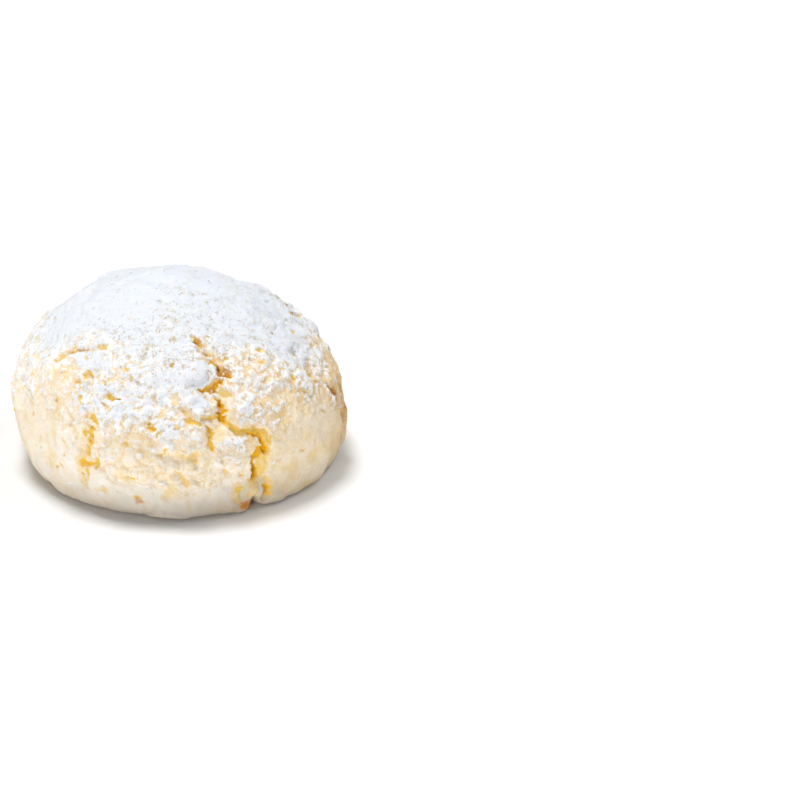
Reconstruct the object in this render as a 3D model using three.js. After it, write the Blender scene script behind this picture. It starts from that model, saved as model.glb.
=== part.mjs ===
// Soft amaretti cookie: one domed piece of baked almond dough, cracked open in the oven.
// Millimetres, +Z up. The flat base lies on Z = 0 and the side with the widest crack faces -Y.
// A place on the crust is a bearing, in degrees from the front and positive to the right,
// and a distance down the crust from the crown, in millimetres.
import * as THREE from "three";
import { mergeVertices } from "three/addons/utils/BufferGeometryUtils.js";

// Driving dimensions of the dome
const HEIGHT = 25.8; // crown above the base
const BELLY_RADIUS = 22.3; // the widest radius
const BELLY_HEIGHT = 8.7; // where it is widest
const BASE_RADIUS = 19.4; // the flat face that it stands on
const CROWN_REACH = 12.1; // how far the crown stays level before it falls away
const SHOULDER_REACH = 7.2; // how far the side stays upright above the belly
const FLANK_REACH = 5.0; // how far it stays upright below the belly
const UNDERCUT_REACH = 2.1; // how far the underside curls in along the base
const CROWN_LEAN = -1.1; // sideways lean of the crown, towards -X

// The outline is not quite round: lobes, share of the radius, bearing of a lobe
const OUTLINE_LOBES = [
  { lobes: 2, share: 0.032, bearing: 53 },
  { lobes: 3, share: 0.019, bearing: 96 },
];

// Soft lumps of the crust, from broad to small: size across, height, seed of the pattern
const LUMPS = [
  { size: 9.0, rise: 0.5, seed: 21 },
  { size: 4.2, rise: 0.34, seed: 20 },
  { size: 2.1, rise: 0.2, seed: 17 },
];

// Crags: rounded crumbs with creases between them, strongest half way down
const CRAGS = { size: 2.5, rise: 0.42, seed: 51 };
const CRAG_WARP = { size: 1.6, push: 0.45, seed: 54 }; // makes them uneven
const CRAG_LEVEL = 0.35; // square of the distance from a crumb's middle, in sizes, at which it is level
const CRAG_LEAST = 0.2; // share of the rise on the crown and the foot
const CRAG_FADE_IN = 8; // distance over which they grow below their start
const CRAG_FADE_OUT = 5; // distance over which they die away, from a little above their reach
const CRAG_FADE_ABOVE = 3; // how much of that lies above the reach
// How far down the crust they start and how far they reach, by bearing
const CRAG_START = [
  [-180, 14], [-100, 15], [-60, 9], [40, 9], [65, 16], [100, 18], [140, 14], [180, 14],
];
const CRAG_REACH = [
  [-180, 32], [-120, 33], [-70, 28], [-40, 29], [-20, 35], [12, 35.5], [28, 34], [45, 30], [75, 28],
  [110, 31], [150, 34], [180, 32],
];

const FOOT_FADE = 4.0; // height over which relief turns level towards the base
const LEAST_GIRTH = 0.5; // radius that distances across the crust are reckoned with at the crown

// Cracks: depth, and a path of [bearing, down the crust, width of the gap]
const CRACKS = [
  // the widest one, from the crown down towards the base, with its side arms
  {
    depth: 1.2,
    path: [
      [18.9, 13.5, 1.2], [24.7, 16.4, 1.2], [26.6, 18.5, 1.7], [22.1, 20.2, 1.6], [22.5, 22.3, 1.5],
      [21.1, 25.0, 1.6], [25.8, 26.8, 1.5], [33.2, 27.7, 1.8], [34.3, 29.6, 2.1], [32.8, 31.7, 2.3],
      [33.2, 34.3, 2.2],
    ],
  },
  { depth: 0.9, path: [[26.6, 18.5, 1.4], [30.1, 19.4, 0.9]] },
  { depth: 0.9, path: [[22.1, 20.2, 1.4], [14.0, 20.5, 0.9]] },
  { depth: 0.8, path: [[21.1, 25.0, 1.4], [14.9, 24.4, 1.0], [9.6, 24.8, 1.3], [7.5, 23.4, 1.0]] },
  { depth: 0.8, path: [[15.5, 25.6, 0.9], [15.8, 28.6, 1.0]] },
  { depth: 0.8, path: [[31.0, 34.2, 1.4], [25.7, 35.6, 1.4], [25.8, 37.1, 1.0]] },
  { depth: 1.0, path: [[33.9, 34.4, 1.5], [36.4, 36.3, 1.6], [35.7, 38.1, 1.2]] },
  // the notch that it leaves in the foot, and the step under the lifted plate
  { depth: 2.8, path: [[31.6, 37.8, 0.6], [32.8, 40.4, 2.8]] },
  { depth: 0.5, path: [[-2.3, 29.2, 1.2], [4.5, 29.6, 1.3], [10.2, 29.4, 1.4], [9.6, 30.9, 1.0]] },
  // the upright one on the front left, with its side arm
  {
    depth: 0.8,
    path: [
      [-28.0, 24.8, 1.5], [-28.2, 27.0, 1.1], [-29.4, 28.9, 1.4], [-31.6, 32.1, 1.5], [-33.2, 35.7, 1.2],
    ],
  },
  { depth: 0.7, path: [[-31.6, 32.1, 1.1], [-25.2, 31.4, 1.0]] },
  // the arc under the left shoulder, and the two on the right
  { depth: 0.7, path: [[-58.5, 20.3, 0.9], [-52.4, 17.6, 1.3], [-45.0, 16.3, 1.0], [-35.4, 15.4, 1.1]] },
  { depth: 0.8, path: [[73.2, 26.0, 0.9], [75.5, 28.6, 1.3], [79.0, 31.6, 1.8], [80.5, 35.5, 1.8]] },
  { depth: 0.6, path: [[96.0, 17.2, 0.9], [106.0, 19.6, 1.2], [109.0, 23.5, 1.0]] },
];

// A broad shallow hollow in the left shoulder: depth, and a path as for the cracks
const HOLLOW = { depth: 0.45, path: [[-92, 29.0, 7.0], [-104, 23.5, 8.0], [-118, 17.5, 7.0]] };
const HOLLOW_FLOOR = 0.15; // share of the half width that is level floor
const HOLLOW_BRIM = 1.2; // share of the half width where the crust is whole again

// Cracks of the far side, each wandering down from a bearing by a seeded rule
const FAR_CRACKS = [
  { bearing: 134, top: 20, bottom: 36, depth: 0.9, seed: 21 },
  { bearing: 171, top: 14, bottom: 30, depth: 1.0, seed: 22 },
  { bearing: -148, top: 23, bottom: 38, depth: 1.0, seed: 23 },
  { bearing: -104, top: 22, bottom: 35, depth: 0.9, seed: 24 },
];
const FAR_CRACK_POINTS = 6;
const FAR_CRACK_SWING = 5; // degrees that a far crack wanders to either side
const FAR_CRACK_WIDTH = { ends: 0.9, middle: 1.5 };

const CRACK_WANDER = { size: 2.4, shift: 0.4, seed: 31 }; // ragged course of every crack
const CRACK_FLOOR = 0.2; // share of the half width that is level floor
const CRACK_BRIM = 1.4; // share of the half width where the crust is whole again
const CRACK_GATHER = 3.0; // distance from a crack within which the facets draw together
const CRACK_GATHER_POWER = 1.5;

// Flakes of crust that stand proud, with the lumps along the foot: middle, half sizes across and
// down, rise, and share of the half size over which the edge falls away
const FLAKES = [
  { bearing: 13.2, down: 18.7, across: 2.4, along: 1.5, rise: 0.6, edge: 0.55 },
  { bearing: 13, down: 23.0, across: 1.5, along: 2.0, rise: 0.5, edge: 0.35 },
  { bearing: 5.6, down: 27.2, across: 3.3, along: 2.0, rise: 0.5, edge: 0.25 },
  { bearing: 21.6, down: 29.6, across: 2.6, along: 2.5, rise: 0.4, edge: 0.3 },
  { bearing: 31.5, down: 23.4, across: 3.0, along: 2.8, rise: 0.3, edge: 0.6 },
  { bearing: -40.4, down: 18.2, across: 3.2, along: 1.4, rise: 0.35, edge: 0.5 },
  { bearing: -16, down: 29.4, across: 1.8, along: 2.0, rise: 0.2, edge: 0.6 },
  { bearing: 30.6, down: 36.0, across: 1.0, along: 1.4, rise: 0.8, edge: 0.9 },
  { bearing: -2, down: 39.8, across: 3.0, along: 2.2, rise: 0.45, edge: 0.3 },
  { bearing: 26.6, down: 39.4, across: 1.5, along: 1.6, rise: 0.45, edge: 0.7 },
  { bearing: 40, down: 38.8, across: 2.4, along: 1.9, rise: 0.4, edge: 0.7 },
  { bearing: 87, down: 35.0, across: 2.4, along: 4.6, rise: 0.55, edge: 0.8 },
  { bearing: 104, down: 21.6, across: 2.6, along: 2.0, rise: 0.6, edge: 0.7 },
  { bearing: 148, down: 22.0, across: 3.0, along: 2.2, rise: 0.45, edge: 0.3 },
  { bearing: -122, down: 25.0, across: 2.8, along: 2.4, rise: 0.4, edge: 0.3 },
  { bearing: -168, down: 19.0, across: 3.2, along: 2.0, rise: 0.45, edge: 0.4 },
];
const FLAKE_WANDER = { size: 1.7, shift: 0.35, seed: 41 };

// Faceting: splits along an edge of the starting ball, and where the base's rim lies on it
const BALL_DETAIL = 23;
const RIM_ANGLE = THREE.MathUtils.degToRad(140);
const BASE_FOLLOW = 4; // how quickly the base's facets stop following the uneven rim

const CRUST_COLOUR = 0xf3e4c8;

const { clamp, degToRad, lerp, radToDeg, smoothstep } = THREE.MathUtils;

// Meridian of the dome: crown to belly, then belly to the rim of the base
function makeMeridian() {
  const meridian = new THREE.CurvePath();
  meridian.add(
    new THREE.CubicBezierCurve(
      new THREE.Vector2(0, HEIGHT),
      new THREE.Vector2(CROWN_REACH, HEIGHT),
      new THREE.Vector2(BELLY_RADIUS, BELLY_HEIGHT + SHOULDER_REACH),
      new THREE.Vector2(BELLY_RADIUS, BELLY_HEIGHT),
    ),
  );
  meridian.add(
    new THREE.CubicBezierCurve(
      new THREE.Vector2(BELLY_RADIUS, BELLY_HEIGHT),
      new THREE.Vector2(BELLY_RADIUS, BELLY_HEIGHT - FLANK_REACH),
      new THREE.Vector2(BASE_RADIUS + UNDERCUT_REACH, 0),
      new THREE.Vector2(BASE_RADIUS, 0),
    ),
  );
  return meridian;
}

const meridian = makeMeridian();
const CRUST_LENGTH = meridian.getLength();

// Point (radius, height) and outward slope of the meridian at a distance down the crust
function meridianAt(down) {
  const share = clamp(down / CRUST_LENGTH, 0, 1);
  const point = meridian.getPointAt(share);
  const tangent = meridian.getTangentAt(share);
  return { radius: point.x, height: point.y, outward: new THREE.Vector2(-tangent.y, tangent.x) };
}

// A 32-bit hash of a lattice cell
function hashCell(x, y, z, seed) {
  let h = Math.imul(x, 0x8da6b343) ^ Math.imul(y, 0xd8163841);
  h ^= Math.imul(z, 0xcb1ab31f) ^ Math.imul(seed, 0x9e3779b1);
  h = Math.imul(h ^ (h >>> 15), 0x2c1b3c6d);
  h = Math.imul(h ^ (h >>> 12), 0x297a2d39);
  return (h ^ (h >>> 15)) >>> 0;
}

// Smooth seeded noise in space, about -1 to 1
function noise(point, size, seed) {
  const scaled = [point.x / size, point.y / size, point.z / size];
  const cell = scaled.map(Math.floor);
  const inside = scaled.map((value, i) => value - cell[i]);
  const blend = inside.map((f) => f * f * f * (f * (f * 6 - 15) + 10));
  let sum = 0;
  for (let corner = 0; corner < 8; corner++) {
    const step = [corner & 1, (corner >> 1) & 1, corner >> 2];
    const h = hashCell(cell[0] + step[0], cell[1] + step[1], cell[2] + step[2], seed);
    let weight = 1;
    let slope = 0;
    for (let i = 0; i < 3; i++) {
      weight *= step[i] ? blend[i] : 1 - blend[i];
      slope += (h & (1 << i) ? 1 : -1) * (inside[i] - step[i]);
    }
    sum += weight * slope;
  }
  return sum;
}

// Distance to the nearest of many seeded points, about one in each cell, in cells
function nearestSeed(point, size, seed) {
  const scaled = [point.x / size, point.y / size, point.z / size];
  const cell = scaled.map(Math.floor);
  let nearest = Infinity;
  for (let corner = 0; corner < 27; corner++) {
    const step = [corner % 3, Math.floor(corner / 3) % 3, Math.floor(corner / 9)];
    const home = cell.map((value, i) => value + step[i] - 1);
    const away = home.map((value, i) => value + hashCell(...home, seed + i) / 0xffffffff - scaled[i]);
    nearest = Math.min(nearest, Math.hypot(...away));
  }
  return nearest;
}

// A value at a bearing, from a table of [bearing, value]
function byBearing(table, bearing) {
  const turned = turnTo(0, bearing);
  const next = Math.max(1, table.findIndex(([at]) => at >= turned));
  const [fromBearing, from] = table[next - 1];
  const [toBearing, to] = table[next];
  return lerp(from, to, (turned - fromBearing) / (toBearing - fromBearing));
}

// The plain dome at a bearing and a distance down the crust
function domeAt(bearing, down) {
  const { radius, height, outward } = meridianAt(down);
  let share = 1;
  for (const wave of OUTLINE_LOBES) {
    share += wave.share * Math.cos(wave.lobes * degToRad(bearing - wave.bearing));
  }
  const east = Math.sin(degToRad(bearing));
  const south = -Math.cos(degToRad(bearing));
  const reach = radius * share;
  const lean = (CROWN_LEAN * height) / HEIGHT;
  // relief stands square to the crust, and turns level near the base so that the base stays flat
  const rise = outward.y * smoothstep(height, 0, FOOT_FADE);
  const level = Math.sqrt(1 - rise * rise);
  return {
    point: new THREE.Vector3(reach * east + lean, reach * south, height),
    relief: new THREE.Vector3(level * east, level * south, rise),
    girth: Math.max(reach, LEAST_GIRTH),
  };
}

// A far crack's path: it wanders to either side as it runs down, and narrows at both ends
function wanderingPath({ bearing, top, bottom, seed }) {
  const path = [];
  for (let i = 0; i < FAR_CRACK_POINTS; i++) {
    const share = i / (FAR_CRACK_POINTS - 1);
    const turn = (hashCell(i, seed, 0, seed) / 0xffffffff) * 2 - 1;
    const width = lerp(FAR_CRACK_WIDTH.ends, FAR_CRACK_WIDTH.middle, Math.sin(Math.PI * share));
    path.push([bearing + FAR_CRACK_SWING * turn, lerp(top, bottom, share), width]);
  }
  return path;
}

const cracks = [
  ...CRACKS,
  ...FAR_CRACKS.map((crack) => ({ depth: crack.depth, path: wanderingPath(crack) })),
];

// Shortest turn from one bearing to another, in degrees
function turnTo(from, to) {
  return THREE.MathUtils.euclideanModulo(to - from + 180, 360) - 180;
}

// The nearest point of a path to a place: the offset to it across and down, and the path's half width
function nearestOnPath(path, bearing, down, girth) {
  let nearest = { distance: Infinity };
  const perDegree = degToRad(1) * girth;
  for (let i = 0; i + 1 < path.length; i++) {
    const [startBearing, startDown, startWidth] = path[i];
    const [endBearing, endDown, endWidth] = path[i + 1];
    const x = turnTo(bearing, startBearing) * perDegree;
    const y = startDown - down;
    const runX = turnTo(startBearing, endBearing) * perDegree;
    const runY = endDown - startDown;
    const share = clamp(-(x * runX + y * runY) / (runX * runX + runY * runY), 0, 1);
    const across = x + share * runX;
    const along = y + share * runY;
    const distance = Math.hypot(across, along);
    if (distance < nearest.distance) {
      nearest = { distance, across, along, halfWidth: lerp(startWidth, endWidth, share) / 2 };
    }
  }
  return nearest;
}

// How far the crust sinks at a crack
function crackDepthAt(bearing, down, girth) {
  let deepest = 0;
  for (const { depth, path } of cracks) {
    const { distance, halfWidth } = nearestOnPath(path, bearing, down, girth);
    const wall = 1 - smoothstep(distance / halfWidth, CRACK_FLOOR, CRACK_BRIM);
    deepest = Math.max(deepest, depth * wall);
  }
  return deepest;
}

// Rise of the crags at a place
function cragsAt(point, bearing, down) {
  const start = byBearing(CRAG_START, bearing);
  const fade = byBearing(CRAG_REACH, bearing) - CRAG_FADE_ABOVE;
  const grown = smoothstep(down, start, start + CRAG_FADE_IN);
  const kept = 1 - smoothstep(down, fade, fade + CRAG_FADE_OUT);
  const push = [0, 1, 2].map((axis) => noise(point, CRAG_WARP.size, CRAG_WARP.seed + axis));
  const warped = point.clone().addScaledVector(new THREE.Vector3(...push), CRAG_WARP.push);
  const middle = nearestSeed(warped, CRAGS.size, CRAGS.seed);
  return lerp(CRAG_LEAST, 1, grown * kept) * CRAGS.rise * (CRAG_LEVEL - middle * middle);
}

// How far the crust sinks in the hollow
function hollowDepthAt(bearing, down, girth) {
  const { distance, halfWidth } = nearestOnPath(HOLLOW.path, bearing, down, girth);
  return HOLLOW.depth * (1 - smoothstep(distance / halfWidth, HOLLOW_FLOOR, HOLLOW_BRIM));
}

// Rise of the flakes that lie over a place
function flakesAt(bearing, down, girth, wander) {
  let rise = 0;
  for (const flake of FLAKES) {
    const x = (turnTo(flake.bearing, bearing) * degToRad(1) * girth + wander) / flake.across;
    const y = (down - flake.down + wander) / flake.along;
    rise = Math.max(rise, flake.rise * (1 - smoothstep(Math.hypot(x, y), 1 - flake.edge, 1)));
  }
  return rise;
}

// Draws a place on the crust towards the nearest crack, so that its walls get more facets
function gatherToCrack(bearing, down) {
  const { girth } = domeAt(bearing, down);
  let near = { distance: Infinity };
  for (const { path } of cracks) {
    const offset = nearestOnPath(path, bearing, down, girth);
    if (offset.distance < near.distance) near = offset;
  }
  if (near.distance >= CRACK_GATHER || near.distance === 0) return { bearing, down };
  const kept = CRACK_GATHER * (near.distance / CRACK_GATHER) ** CRACK_GATHER_POWER;
  const move = 1 - kept / near.distance;
  return {
    bearing: bearing + radToDeg((near.across * move) / girth),
    down: clamp(down + near.along * move, 0, CRUST_LENGTH),
  };
}

// The crust with its relief at a place
function crustAt(bearing, down) {
  const { point, relief, girth } = domeAt(bearing, down);
  let rise = 0;
  for (const { size, rise: height, seed } of LUMPS) rise += height * noise(point, size, seed);
  rise += cragsAt(point, bearing, down);
  const stray = CRACK_WANDER.shift * noise(point, CRACK_WANDER.size, CRACK_WANDER.seed);
  rise -= crackDepthAt(bearing + radToDeg(stray / girth), down + stray, girth);
  rise -= hollowDepthAt(bearing, down, girth);
  const wander = FLAKE_WANDER.shift * noise(point, FLAKE_WANDER.size, FLAKE_WANDER.seed);
  rise += flakesAt(bearing, down, girth, wander);
  return { point, moved: point.clone().addScaledVector(relief, rise) };
}

// A ball whose upper part becomes the crust, and whose lower cap becomes the flat base
function makeCookie() {
  const ball = new THREE.IcosahedronGeometry(1, BALL_DETAIL);
  ball.deleteAttribute("normal");
  ball.deleteAttribute("uv");
  const geometry = mergeVertices(ball);
  const position = geometry.getAttribute("position");
  const vertex = new THREE.Vector3();
  for (let i = 0; i < position.count; i++) {
    vertex.fromBufferAttribute(position, i).normalize();
    const polar = Math.acos(clamp(vertex.z, -1, 1));
    const ballBearing = radToDeg(Math.atan2(vertex.x, -vertex.y));
    if (polar <= RIM_ANGLE) {
      const place = gatherToCrack(ballBearing, (CRUST_LENGTH * polar) / RIM_ANGLE);
      vertex.copy(crustAt(place.bearing, place.down).moved);
    } else {
      // the base's facets shrink towards its middle and follow the uneven rim less and less
      const inwards = (Math.PI - polar) / (Math.PI - RIM_ANGLE);
      const { point, moved } = crustAt(ballBearing, CRUST_LENGTH);
      const rimShift = moved.sub(point).multiplyScalar(inwards ** BASE_FOLLOW);
      vertex.copy(point).multiplyScalar(inwards).add(rimShift);
    }
    position.setXYZ(i, vertex.x, vertex.y, Math.max(vertex.z, 0));
  }
  geometry.computeVertexNormals();
  return geometry;
}

const crust = new THREE.MeshStandardMaterial({ color: CRUST_COLOUR, roughness: 0.9, metalness: 0 });
const cookie = new THREE.Mesh(makeCookie(), crust);
cookie.name = "cookie";

const group = new THREE.Group();
group.add(cookie);

export default group;
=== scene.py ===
import math

import bpy
import numpy as np
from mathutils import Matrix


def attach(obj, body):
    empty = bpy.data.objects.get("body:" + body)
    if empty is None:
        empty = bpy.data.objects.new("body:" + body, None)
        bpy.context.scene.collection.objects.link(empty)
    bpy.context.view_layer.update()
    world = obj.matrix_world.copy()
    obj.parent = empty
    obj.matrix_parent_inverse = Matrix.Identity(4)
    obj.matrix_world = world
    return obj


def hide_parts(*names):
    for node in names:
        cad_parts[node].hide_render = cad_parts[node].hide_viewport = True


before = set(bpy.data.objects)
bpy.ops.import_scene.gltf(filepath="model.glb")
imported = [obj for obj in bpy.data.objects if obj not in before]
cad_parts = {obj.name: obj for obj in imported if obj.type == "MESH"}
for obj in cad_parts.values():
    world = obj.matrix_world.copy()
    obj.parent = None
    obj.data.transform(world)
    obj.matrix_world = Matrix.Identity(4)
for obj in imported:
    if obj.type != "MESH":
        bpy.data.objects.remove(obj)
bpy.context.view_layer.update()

# A soft amaretti cookie: a domed, cracked almond crust under a dusting of icing sugar.
# Shapes are worked out in millimetres and become metres when a mesh is made.
# A place on the crust is a bearing, in degrees from the front and positive to the right,
# and a distance down the crust from the crown.
mm = 0.001

dome = {
    "height": 25.8,          # crown above the base
    "bellyRadius": 22.3,     # the widest radius
    "bellyHeight": 8.7,      # where it is widest
    "baseRadius": 19.4,      # flat face that it stands on
    "crownReach": 12.1,      # how far the crown stays level before it falls away
    "shoulderReach": 7.2,    # how far the side stays upright above the belly
    "flankReach": 5.0,       # and below the belly
    "undercutReach": 2.1,    # how far the underside curls in along the base
    "crownLean": -1.1,       # sideways lean of the crown
    "footFade": 4.0,         # height over which relief turns level towards the base
    "lobes": [(2, 0.032, 53), (3, 0.019, 96)],  # lobes, share of the radius, bearing of a lobe
    "spacing": 0.225,        # between neighbouring points of the mesh
    "rowShare": 0.866,       # rows this share of the spacing apart make even triangles
    "curveSteps": (600, 300),  # of the outline above and below the belly
    # rings across the flat base: share of its radius, and of the points that fit on it
    "baseRings": [(0.985, 0.7), (0.96, 0.7), (0.92, 0.35), (0.85, 0.35), (0.74, 0.35), (0.58, 0.35),
                  (0.36, 0.35), (0.15, 0.35)],
    "leastPoints": 12,       # on a ring of the base
}

crustRelief = {
    "lumps": [(9.0, 0.5, 21), (4.2, 0.34, 20), (2.1, 0.2, 17)],  # size, rise, seed
    "crags": [(2.5, 0.42, 51), (1.2, 0.26, 52)],  # rounded lumps with creases between
    "cragWarp": (1.6, 0.45, 54),                  # size, push and seed that make them uneven
    # how far down the crags begin and how far they reach, by bearing
    "cragStart": [(-180, 14), (-100, 15), (-60, 9), (40, 9), (65, 16), (100, 18), (140, 14), (180, 14)],
    "cragReach": [(-180, 32), (-120, 33), (-70, 28), (-40, 29), (-20, 35), (12, 35.5), (28, 34), (45, 30),
                  (75, 28), (110, 31), (150, 34), (180, 32)],
    "cragOnset": 8.0,        # distance over which they grow
    "cragEnd": (-3.0, 2.0),  # distances before and past their reach between which they fade
    "cragLeast": 0.2,        # share of their height elsewhere
    "cragInTears": 0.4,      # and what a tear adds
    "cragLevel": 0.35,       # sets their tops and creases about the crust
    "creaseWidth": 0.18,     # share of a crag
    "grit": [(0.6, 0.07, 53), (0.4, 0.05, 55)],
    "gritLeast": 0.4,        # share of it where there are no crags
    "crackWander": [(2.4, 0.3, 31), (1.1, 0.2, 32)],  # uneven course of the cracks
    "crackSide": (0.15, 1.2),                         # foot and top of a crack's side, in half widths
    "tearWander": [(1.2, 0.16, 34), (0.55, 0.26, 35), (0.38, 0.16, 36)],  # ragged edges of the tears
    "tearSide": (0.6, 1.5),
    "tearSink": 0.6,         # share of a tear's depth that is cut into the crust
    "goldenDepth": 0.8,      # tears from this depth on are wholly golden
    "crumble": [(0.95, 0.8, 37), (0.5, 0.7, 38)],     # crumbs that still cling inside the tears
    "crumbleFill": 0.6,      # how much of the depth they fill
    "crumblePale": 0.35,     # and how much of the gold they hide
    "flakeWander": [(1.7, 0.34, 41), (0.8, 0.34, 42), (0.45, 0.2, 43)],
    "settle": 0.28,          # the sugar and crags stand on a crust this much lower
    "baseCalm": 4,           # power by which relief dies out across the base
    "leastGirth": 0.5,       # keeps turns finite at the crown
}

# the crust has split along these valleys: depth, then a path of (bearing, down, width)
cracks = [
    (0.45, [(18.9, 13.5, 1.2), (24.7, 16.4, 1.2), (26.6, 18.5, 1.8), (22.1, 20.2, 1.8), (22.5, 22.3, 1.7),
            (21.1, 25, 1.8), (25.8, 26.8, 1.7), (33.2, 27.7, 2.2), (34.3, 29.6, 2.6), (32.8, 31.7, 3.0),
            (33.2, 34.3, 3.0)]),
    (0.4, [(31, 34.2, 1.5), (25.7, 35.6, 1.5), (25.8, 37.1, 1.0)]),
    (0.5, [(33.9, 34.4, 1.6), (36.4, 36.3, 1.7), (35.7, 38.1, 1.2)]),
    (2.8, [(31.6, 37.8, 0.6), (32.8, 40.4, 2.8)]),
    (0.4, [(21.1, 25, 1.6), (14.9, 24.4, 1.2), (9.6, 24.8, 1.4), (7.5, 23.4, 1.2)]),
    (0.4, [(15.5, 25.6, 1.0), (15.8, 28.6, 1.3)]),
    (0.35, [(-2.3, 29.2, 1.2), (4.5, 29.6, 1.3), (10.2, 29.4, 1.4), (9.6, 30.9, 1.0)]),
    (0.35, [(-28, 24.8, 1.6), (-29.4, 28.9, 1.8), (-31.6, 32.1, 2.0), (-33.2, 35.7, 1.6)]),
    (0.35, [(-58.5, 20.3, 1.0), (-52.4, 17.6, 1.4), (-45, 16.3, 1.0), (-35.4, 15.4, 1.2)]),
    (0.6, [(73.2, 26, 0.8), (75.5, 28.6, 1.3), (79, 31.6, 2.0), (80.5, 35.5, 2.0)]),
    (0.4, [(96, 17.2, 1.0), (106, 19.6, 1.2), (109, 23.5, 1.0)]),
    (0.45, [(-92, 29, 7.0), (-104, 23.5, 8.0), (-118, 17.5, 7.0)]),  # a shallow hollow in the left shoulder
]

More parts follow.
